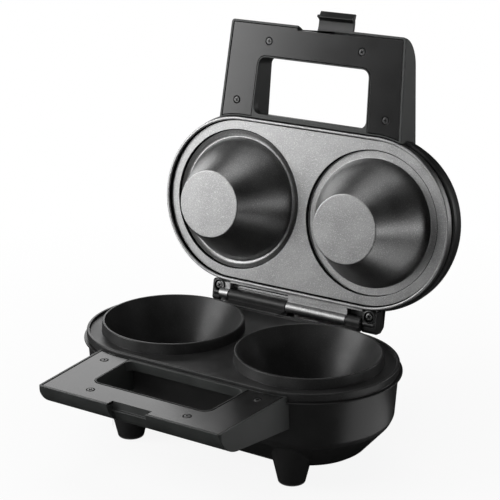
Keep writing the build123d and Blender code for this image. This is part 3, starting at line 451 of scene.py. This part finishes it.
def settle(piece, slot, body, *nodes, edge=0.35, segments=2):
    """Soften the edges, scale to metres, swing a lid piece open, dress it and let it stand for its solids."""
    hold(piece)
    bpy.ops.object.mode_set(mode="EDIT")
    bpy.ops.mesh.select_all(action="SELECT")
    bpy.ops.mesh.remove_doubles(threshold=0.02)
    bpy.ops.mesh.dissolve_degenerate(threshold=0.01)
    bpy.ops.object.mode_set(mode="OBJECT")
    if edge:
        soft = piece.modifiers.new("soft_edges", "BEVEL")
        soft.width, soft.segments = edge, segments
        soft.limit_method, soft.angle_limit = "ANGLE", math.radians(35)
        soft.use_clamp_overlap = False
        bpy.ops.object.modifier_apply(modifier=soft.name)
    bpy.ops.object.shade_smooth_by_angle(angle=math.radians(32))
    even = piece.modifiers.new("even_shade", "WEIGHTED_NORMAL")
    even.keep_sharp = True
    bpy.ops.object.modifier_apply(modifier=even.name)
    if body == "latch":
        piece.data.transform(latch_out)
    if body in ("lid", "latch"):
        piece.data.transform(lid_open)
    piece.data.transform(Matrix.Scale(0.001, 4))
    piece.data.materials[0] = finishes[slot]
    # The second slot holds the near-black painted shade of grooves, recesses and seats.
    piece.data.materials[1] = finishes["painted_shade"]
    if not any(face.material_index for face in piece.data.polygons):
        piece.data.materials.pop()
    if nodes:
        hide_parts(*nodes)
    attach(piece, body)
    print(piece.name, len(piece.data.polygons), "faces on", body)


def swing(y, z, degrees):
    """A turn about a line along X through (y, z)."""
    hinge = Matrix.Translation((0, y, z))
    return hinge @ Matrix.Rotation(math.radians(degrees), 4, "X") @ hinge.inverted()


lid_open = swing(*hinge_line, -98.5)
latch_out = swing(*latch_line, -94.0)
print("drawing tools ready")

# %% [markdown]
# The lid's plate is one aluminium casting: a thin slab with a raised bead round it, two round recesses, and
# a hollow cone standing in each. The slab is a long body. A drum cuts each recess, and a turned moulding,
# recess floor, cone and hollow back in one profile, is joined in. Fine grooves follow the bead and the
# recesses, and a strip with two grooved lines closes the view through the hinge. The walls of the grooves,
# lines and recesses are painted near-black: painted shade. The small bevels catch the light as the coated
# edges of a casting do.

# %% Lid plate
def cone_radius(height):
    """Outside radius of a cone, lid shut."""
    return 26.8 + (height - 42.0) * math.tan(math.radians(27.57))


def hinge_run(low, high, rise, start, end):
    """A hinge barrel along X with the web that carries it."""
    tip, back = (high, low) if rise > 0 else (low, high)
    web = drawn_block("hinge_web", [(65.5, back), (74.4, back), (74.4, 83.2), (83.0, 83.2),
                                    (83.0, 83.2 + rise * 1.2), (80.1, tip), (65.5, tip)], start, end, "X")
    barrel = turned_body("hinge_barrel", [(2.05, start), (4.5, start, 0.5), (4.5, end, 0.5), (2.05, end)],
                         hinge_line, 40, "X")
    combine(web, barrel, "UNION")
    return web


lid_plate = long_body("lid_plate", [(20, 84.3), (65.0, 84.3, 0.9), (65.0, 80.8, 0.9), (67.5, 80.8, 0.9),
                                    (67.5, 88.0, 0.6), (20, 88.0)])
moulding = turned_body("cone_moulding", [
    (58.4, 87.2), (cone_radius(87.2), 87.2, 0.9), (26.8, 42.0, 1.3), (0, 42.0), (0, 45.0), (25.0, 45.0),
    (48.6, 90.2), (58.4, 90.2)], steps=120)
rim_groove = long_body("rim_groove", [(64.3, 81.9), (65.06, 81.9), (65.06, 84.9), (64.3, 84.9)], True)
# The walls of this groove, and of the recesses and their grooves below, get painted shade.
combine(lid_plate, rim_groove, "DIFFERENCE", painted_shade=True)
for side in (-1, 1):
    mould = (side * half_pitch, 0)
    drum = turned_body("recess_drum", [(0, 70), (56.4, 70), (56.4, 95), (0, 95)], mould, 120)
    combine(lid_plate, drum, "DIFFERENCE", painted_shade=True)
    groove_line = [(56.0, 84.0), (57.1, 84.0), (57.1, 84.9), (56.0, 84.9)]
    combine(lid_plate, turned_body("recess_groove", groove_line, mould, 120), "DIFFERENCE", painted_shade=True)
    cone = moved(copied(moulding, "cone_moulding_copy"), Matrix.Translation((*mould, 0)))
    combine(lid_plate, cone, "UNION")
bpy.data.objects.remove(moulding)
strip = drawn_block("hinge_strip", [(65.6, 82), (69.1, 82), (69.1, 86), (65.6, 86)], -68.2, 63.1, "X")
combine(lid_plate, strip, "UNION")
for start, end in ((-68.2, -59.3), (-4.3, 50.0)):
    combine(lid_plate, hinge_run(82.0, 86.0, 1, start, end), "UNION")
back_outline = [(66, 85.9), (68.4, 85.9), (68.4, 87.95), (75, 87.95), (75, 88.15), (80, 88.15), (80, 88.6),
                (66, 88.6)]
combine(lid_plate, drawn_block("hinge_back", back_outline, -59.2, -4.4, "X"), "UNION")
# Two shallow grooves with near-black faces: painted shadow lines on the hinge strip.
for near, far in ((70.4, 71.4), (73.2, 73.6)):
    dark_line = [(near, 87.6), (far, 87.6), (far, 88.3), (near, 88.3)]
    combine(lid_plate, drawn_block("back_line", dark_line, -59.2, -4.4, "X"), "DIFFERENCE", painted_shade=True)
for side in (-1, 1):
    near, far = side * 69.6 - 4.9, side * 69.6 + 4.9
    lug = [(near, 62), (far, 62), (far, 77.3, 4.8), (near, 77.3, 4.8)]
    combine(lid_plate, drawn_block("ear_lug", lug, 85.0, 87.9), "UNION")
settle(lid_plate, "upper_casting", "lid", "upper_plate", edge=0.2)

# %% [markdown]
# The lower plate mirrors it: the same slab and bead, and two deep cups whose walls rise above the slab as
# rings, so that batter does not run out between them. Ring, cup and floor are one turned profile. Batter
# is poured over the ring, so its top is rounded. A small block at the end of the long
# hinge web closes the corner beside the lid's barrel.

# %% Base plate
base_plate = long_body("base_plate", [(20, 78.4), (65.0, 78.4, 0.7), (65.0, 80.4, 0.7), (67.5, 80.4, 0.9),
                                      (67.5, 74.6, 0.5), (20, 74.6)])
cup = turned_body("cup_moulding", [
    (56.2, 75.2), (55.2, 86.7, 0.7), (53.5, 86.7, 0.6), (28.6, 39.0, 2.5), (0, 39.0), (0, 36.0),
    (30.4, 36.0, 3.0), (50.6, 75.2)], steps=120)
for side in (-1, 1):
    mould = (side * half_pitch, 0)
    drum = turned_body("cup_drum", [(0, 70), (52.4, 70), (52.4, 95), (0, 95)], mould, 120)
    combine(base_plate, drum, "DIFFERENCE")
    combine(base_plate, moved(copied(cup, "cup_moulding_copy"), Matrix.Translation((*mould, 0))), "UNION")
bpy.data.objects.remove(cup)
for start, end in ((-58.9, -4.7), (50.4, 63.1)):
    combine(base_plate, hinge_run(76.4, 80.4, -1, start, end), "UNION")
web_end = drawn_block("web_end", [(69.5, 76.4), (74.0, 76.4), (74.0, 79.0), (69.5, 79.0)], -5.0, -1.5, "X")
combine(base_plate, web_end, "UNION")
settle(base_plate, "lower_casting", "base", "lower_plate", edge=0.35)

# %% [markdown]
# The two housings are thin plastic mouldings with a tapered side and a soft crease. A housing is a long
# body whose profile goes up the outside and down the inside, so it has its real wall. The lower one gets a
# lip under the plate, four flared legs trimmed to its plan, and slots below; the upper one gets a dome,
# two ears over the ends of the hinge, and a thin shade behind the hinge's right end.

# %% Base housing
base_shell = long_body("base_shell", [
    (20, 12.4), (41, 12.4, 3), (45.5, 15.4, 4), (62.9, 35.6, 9), (64.8, 40.0, 6), (66.9, 74.6), (64.4, 74.6),
    (62.3, 40.2, 6), (60.6, 36.4, 7), (44.2, 17.2, 4), (40, 14.9, 3), (20, 14.9)])
lip = long_body("lip", [(65.6, 72.6), (69.7, 72.6, 0.4), (69.7, 73.9, 0.4), (65.6, 73.9)], True)
combine(base_shell, lip, "UNION")
leg = turned_body("leg", [(0, 0.8), (10.0, 0.8, 0.9), (12.6, 12.0, 20), (15.2, 23.0, 20), (18.1, 35.6),
                          (0, 35.6)], steps=48)
keeper = long_body("leg_limit", [(20, -1), (62.0, -1), (62.0, 36), (20, 36)])
core = long_body("inside_limit", [(20, 13.6), (42.6, 13.6), (45.6, 16.4), (61.6, 36.2), (61.6, 38), (20, 38)])
for x in (-72.8, 72.8):
    for y in (-42.2, 47.0):
        foot = moved(copied(leg, "leg_copy"), Matrix.Translation((x, y, 0)))
        combine(foot, keeper, "INTERSECT", keep=True)
        combine(foot, core, "DIFFERENCE", keep=True)
        combine(base_shell, foot, "UNION")
slot_line = [(48.4, -22, 1.5), (51.6, -22, 1.5), (51.6, 22, 1.5), (48.4, 22, 1.5)]
slots = drawn_block("vent_slots", slot_line, 5, 20)
row = [moved(copied(slots, "vent_slot"), Matrix.Translation((step * 7.0, 0, 0))) for step in (1, 2, 3, 4)]
row += [moved(copied(slots, "vent_slot"), Matrix.Translation((-100.0 - step * 7.0, 0, 0)))
        for step in range(5)]
hold(slots)
for one in row:
    one.select_set(True)
bpy.ops.object.join()
combine(base_shell, slots, "DIFFERENCE")
for spare in (leg, keeper, core):
    bpy.data.objects.remove(spare)
settle(base_shell, "housing_plastic", "base", "base_housing", edge=0.5, segments=3)

# %% Lid housing
lid_shell = long_body("lid_shell", [
    (20, 112.5), (48, 112.5), (53.2, 111.9, 6), (60.2, 109.8, 5), (64.2, 105.6, 6), (66.0, 100.4, 8),
    (67.0, 92.6), (67.0, 88.8), (69.5, 88.8), (69.5, 92.8, 12), (68.5, 100.8, 12), (66.5, 106.8, 6),
    (62.0, 111.8, 6), (54, 114.4, 12), (48, 115), (20, 115)])
for low, high in ((-76.0, -63.5), (63.5, 76.0)):
    ear_line = [(64.5, 88.6), (86, 88.6), (86, 92, 1.5), (82, 97, 2.5), (64.5, 97)]
    combine(lid_shell, drawn_block("hinge_ear", ear_line, low, high, "X"), "UNION")
shade_line = [(66.5, 88.9), (82, 88.9), (82, 90.4), (66.5, 90.4)]
combine(lid_shell, drawn_block("hinge_shade", shade_line, 42.0, 64.5, "X"), "UNION")
for side in (-1, 1):
    lens_drum = turned_body("lens_drum", [(0, 105), (4.1, 105), (4.1, 120), (0, 120)], (side * 14.0, -38.0), 40)
    combine(lid_shell, lens_drum, "DIFFERENCE")
settle(lid_shell, "housing_plastic", "lid", "lid_housing", edge=0.5, segments=3)

# %% [markdown]
# Each handle is a wide hollow grip with a flat cover let into its mating face. From the side it is a slope
# ending in a round nose, and from above a shallow trapezium. So the block is the overlap of two drawn
# blocks, one for each view. It is modelled once on its mating face, and its copy for the base is mirrored.
# The finger hole, the seat of the cover, the latch channel and the curve of the body behind are then cut.

# %% Handle blocks
def plan(inset):
    """Outline of a handle from above, with its front corners rounded."""
    corner = max(3.0 - inset, 0.6)
    return [(-77.5 + inset, -144.7 + inset, corner), (77.5 - inset, -144.7 + inset, corner),
            (82.2 - inset, -62.0), (-82.2 + inset, -62.0)]


def finger_outline(grow, back):
    """Outline of the finger hole, grown by a rim, with its rear side at a distance."""
    wide = 49.0 + (117.0 - back) * 2.0 / 45.0 + grow
    return [(-49.0 - grow * 0.96, -117.0 - grow, 6 + grow), (49.0 + grow * 0.96, -117.0 - grow, 6 + grow),
            (wide, -back, 6 + grow), (-wide, -back, 6 + grow)]


def cover_outline(gap, channel):
    """Outline of a handle's cover, a gap away from its seat all round, with the channel at a distance."""
    inset, grow, body = 2.0 + gap, 1.2 + gap, 69.5 + gap
    corner = (-82.2 + inset, -67.0)
    for _ in range(6):
        corner = (-77.5 + inset - (corner[1] + 144.7 - inset) * 4.7 / (82.7 - inset),
                  -math.sqrt(body ** 2 - (corner[0] + half_pitch) ** 2))
    sweep = math.asin((-half_pitch - corner[0]) / body)
    turns = [sweep * turn / 8 for turn in range(8, -1, -1)]
    arc = [(-half_pitch - body * math.sin(turn), -body * math.cos(turn)) for turn in turns]
    finger = (-49.0 - grow * 0.96, -117.0 - grow, 6 + grow)
    root = (finger[0] - (117.0 + grow - body) * 2.0 / 45.0, -body)
    front = (-77.5 + inset, -144.7 + inset, max(3.0 - inset, 0.6))
    half = 16.4 + gap
    left = [(-half, channel + gap), (-half, front[1]), front] + arc + [root, finger]
    return left + [(-point[0], *point[1:]) for point in reversed(left)]


nose_y, nose_drop = -121.165, 4.7
crown = (nose_y - 24 * math.sin(math.radians(6.4)), 24 * math.cos(math.radians(6.4)) - nose_drop)
side_view = [(-62, 0), (-62, crown[1] + (-62 - crown[0]) * math.tan(math.radians(6.4)))]
for share in range(15):
    angle = math.radians(96.4 + (168.7 - 96.4) * share / 14)
    side_view.append((nose_y + 24 * math.cos(angle), 24 * math.sin(angle) - nose_drop))
grip = drawn_block("grip", plan(0), 0, 40)
combine(grip, drawn_block("grip_side", side_view, -90, 90, "X"), "INTERSECT")
combine(grip, drawn_block("finger_rim", finger_outline(0, 72), -1, 7.4), "DIFFERENCE")
combine(grip, drawn_block("finger_depth", finger_outline(0, 54), 7.3, 41), "DIFFERENCE")
print("grip", len(grip.data.polygons), "faces")

# %% Covers and channels
up = {"lid": Matrix.Translation((0, 0, 80.7)),
      "base": Matrix.Translation((0, 0, 78.2)) @ Matrix.Scale(-1, 4, (0, 0, 1))}
screw_places = ((-41.5, -130.0), (41.5, -130.0), (-67.0, -80.8), (67.0, -80.8))
channel_arc = [(nose_y + 20.8 * math.cos(math.radians(a)), 20.8 * math.sin(math.radians(a)) - nose_drop)
               for a in range(108, 180, 6)]
channel_lines = {"lid": [(-165, -5), (-165, 40), (-127.5, 40), (-127.5, 15.2)] + channel_arc + [(-141.9, -5)],
                 "base": [(-165, -5), (-165, 21.2), (-130.0, 21.2), (-134.6, 12.8), (-136.8, 8.0),
                          (-137.3, 7.6), (-137.5, 5.7), (-137.3, 0), (-137.3, -5)]}


def body_cut(half):
    """The closed body behind a handle, drawn from the mating face."""
    lines = {"lid": [(20, -5), (68.3, -5), (68.3, 8.1), (69.6, 8.1), (69.6, 12.1), (68.6, 20.1), (66.6, 26.1),
                     (62.1, 31.1), (60, 34.3), (20, 34.3)],
             "base": [(20, -5), (68.3, -5), (68.3, 4.2), (69.8, 4.2), (69.8, 5.7), (67.0, 5.7), (64.9, 38.2),
                      (63, 42.6), (20, 42.6)]}[half]
    return long_body("body_cut", lines)


for half, part, channel in (("lid", "upper", -141.2), ("base", "lower", -137.3)):
    shell = copied(grip, half + "_grip")
    # The seat's walls get the near-black finish: painted shade in the gap round the cover.
    combine(shell, drawn_block("cover_seat", cover_outline(0, channel), -1, 2.0), "DIFFERENCE", painted_shade=True)
    combine(shell, body_cut(half), "DIFFERENCE")
    combine(shell, drawn_block("channel", channel_lines[half], -16.4, 16.4, "X"), "DIFFERENCE")
    if half == "lid":
        pocket = turned_body("pivot_pocket", [(0, -16.4), (4.9, -16.4), (4.9, 16.4), (0, 16.4)],
                             (latch_line[0], 15.0), 40, "X")
        combine(shell, pocket, "DIFFERENCE")
    else:
        rib_line = [(-139.4, 5.7), (-136.0, 5.7), (-136.0, 8.2), (-137.3, 7.7), (-139.4, 6.8)]
        combine(shell, drawn_block("catch_rib", rib_line, -16.5, 16.5, "X"), "UNION")
    settle(moved(shell, up[half]), "handle_plastic", half, part + "_handle_shell", edge=0.38, segments=3)
    plate = drawn_block(half + "_grip_cover", cover_outline(0.35, channel), 0.25, 1.9)
    for place in screw_places:
        seat_line = [(0, -1), (3.2, -1), (3.2, 1.3), (1.6, 1.3), (1.6, 5), (0, 5)]
        # The seat's walls get the near-black finish: painted shade round each screw.
        combine(plate, turned_body("screw_seat", seat_line, place, 32), "DIFFERENCE", painted_shade=True)
    settle(moved(plate, up[half]), "cover_plastic", half, part + "_handle_cover", edge=0.28)
bpy.data.objects.remove(grip)

# %% [markdown]
# All the screws are pan heads with a cross recess. The head is turned from a profile, the recess is a
# cross of two narrow bars, and one screw of each size is copied to every seat.

# %% Screws
def cross_screw(name, head, height, shank, length):
    """A pan-head screw standing on Z = 0, head up."""
    screw = turned_body(name, [(0, height), (head, height, height * 0.62), (head, 0.0, 0.1), (shank, 0),
                               (shank, -length), (0, -length)], steps=40)
    arm = head * 0.56
    for turn in (0, 90):
        bar_line = [(-arm, -0.4), (arm, -0.4), (arm, 0.4), (-arm, 0.4)]
        bar = drawn_block("recess_bar", bar_line, height * 0.15, height + 1)
        moved(bar, Matrix.Rotation(math.radians(turn), 4, "Z"))
        # The recess faces get the near-black finish: painted shade in the cross.
        combine(screw, bar, "DIFFERENCE", painted_shade=True)
    return screw


cover_screw = cross_screw("cover_screw", 2.7, 1.1, 1.5, 9.0)
into_face = Matrix.Rotation(math.pi, 4, "X")
for half, part in (("lid", "upper"), ("base", "lower")):
    for number, (x, y) in enumerate(screw_places):
        turn = into_face @ Matrix.Rotation(0.5 * number, 4, "Z")
        screw = moved(copied(cover_screw, "%s_cover_screw_%d" % (half, number)),
                      up[half] @ Matrix.Translation((x, y, 1.2)) @ turn)
        settle(screw, "black_screw_steel", half, part + "_cover_screws", edge=0)
bpy.data.objects.remove(cover_screw)
ear_screw = cross_screw("ear_screw", 3.3, 1.8, 1.9, 12.0)
for side in (-1, 1):
    screw = moved(copied(ear_screw, "ear_screw_%s" % ("left" if side < 0 else "right")),
                  Matrix.Translation((side * 69.6, 72.4, 83.2)) @ into_face @ Matrix.Rotation(0.6, 4, "Z"))
    settle(screw, "screw_steel", "lid", "ear_screws", edge=0)
bpy.data.objects.remove(ear_screw)

# %% [markdown]
# Small caps close the ends of the hinge, each with a rounded collar round a dull screw and a sleeve over
# the end of the hinge's pin. The latch is a curved plate that lies in the round nose of both handles; its
# hooked end snaps under a rib, and it turns on a pin in its knuckle.

# %% Hinge caps
for side, name in ((-1, "left"), (1, "right")):
    low, high = sorted((side * 76.0, -68.6 if side < 0 else 63.5))
    cap_line = [(68, 83.4, 0.6), (69.4, 82, 0.6), (83.6, 82, 1.2), (86, 84.4, 1.2), (86, 88.4), (68, 88.4)]
    cap = drawn_block("hinge_cap_" + name, cap_line, low, high, "X")
    screw_axis = (side * 69.6, 72.4)
    collar = turned_body("collar", [(0, 81.0), (5.8, 81.0, 1.5), (5.8, 84.9), (0, 84.9)], screw_axis, 48)
    combine(cap, collar, "UNION")
    inner, outer = (-74.3, -68.6) if side < 0 else (63.5, 74.3)
    sleeve_line = [(0, inner), (2.12, inner), (2.12, outer), (0, outer)]
    combine(cap, turned_body("pin_cover", sleeve_line, hinge_line, 40, "X"), "UNION")
    if side < 0:
        room_line = [(0, -68.6), (4.8, -68.6), (4.8, -50), (0, -50)]
        combine(cap, turned_body("barrel_room", room_line, hinge_line, 40, "X"), "DIFFERENCE")
    seat_line = [(0, 70), (4.2, 70), (4.2, 83.2), (2.0, 83.2), (2.0, 100), (0, 100)]
    # The seat's walls get the near-black finish: painted shade round the screw.
    combine(cap, turned_body("cap_seat", seat_line, screw_axis, 40), "DIFFERENCE", painted_shade=True)
    combine(cap, long_body("plate_room", [(20, 70), (67.8, 70), (67.8, 100), (20, 100)]), "DIFFERENCE")
    settle(cap, "housing_plastic", "lid", "hinge_covers", edge=0.3)

# %% Latch
def ring_part(centre, inner, outer, first, last, count=16):
    """Outline of a piece of a ring between two angles, in Y and Z."""
    angles = [math.radians(first + (last - first) * step / count) for step in range(count + 1)]
    return ([(centre[0] + outer * math.cos(a), centre[1] + outer * math.sin(a)) for a in angles]
            + [(centre[0] + inner * math.cos(a), centre[1] + inner * math.sin(a)) for a in reversed(angles)])


nose = (nose_y, 76.0)
latch = drawn_block("swing_latch", ring_part(nose, 21.2, 23.8, 107.8, 198.0), -15.8, 15.8, "X")
hook_line = ring_part(latch_line, 27.35, 29.35, 236.5, 247.5, 6)
combine(latch, drawn_block("latch_hook", hook_line, -15.8, 15.8, "X"), "UNION")
tab_line = [(-142.6, 71), (-144.4, 69.5, 0.6), (-144.9, 66.1, 0.5), (-143.6, 65.4, 0.4), (-141.6, 69)]
combine(latch, drawn_block("latch_tab", tab_line, -15.8, 15.8, "X"), "UNION")
combine(latch, turned_body("latch_knuckle", [(1.3, -15.8), (3.2, -15.8, 0.3), (3.2, 15.8, 0.3), (1.3, 15.8)],
                           latch_line, 32, "X"), "UNION")
settle(latch, "latch_plastic", "latch", "latch", edge=0.35)

# %% [markdown]
# Two small lights sit in the lid. A lens is a domed disc, modelled once and copied in red and green.

# %% Lights
lens = turned_body("lens", [(0, 115.6), (2.6, 115.3, 3), (4.0, 114.3, 0.5), (4.0, 112.4), (5.5, 112.4),
                            (5.5, 111.2), (2.2, 111.2), (2.2, 113.2), (0, 113.6)], steps=48)
for side, node, slot in ((-1, "power_light", "red_lens"), (1, "ready_light", "green_lens")):
    one = moved(copied(lens, node + "_lens"), Matrix.Translation((side * 14.0, -38.0, 0)))
    settle(one, slot, "lid", node, edge=0)
bpy.data.objects.remove(lens)
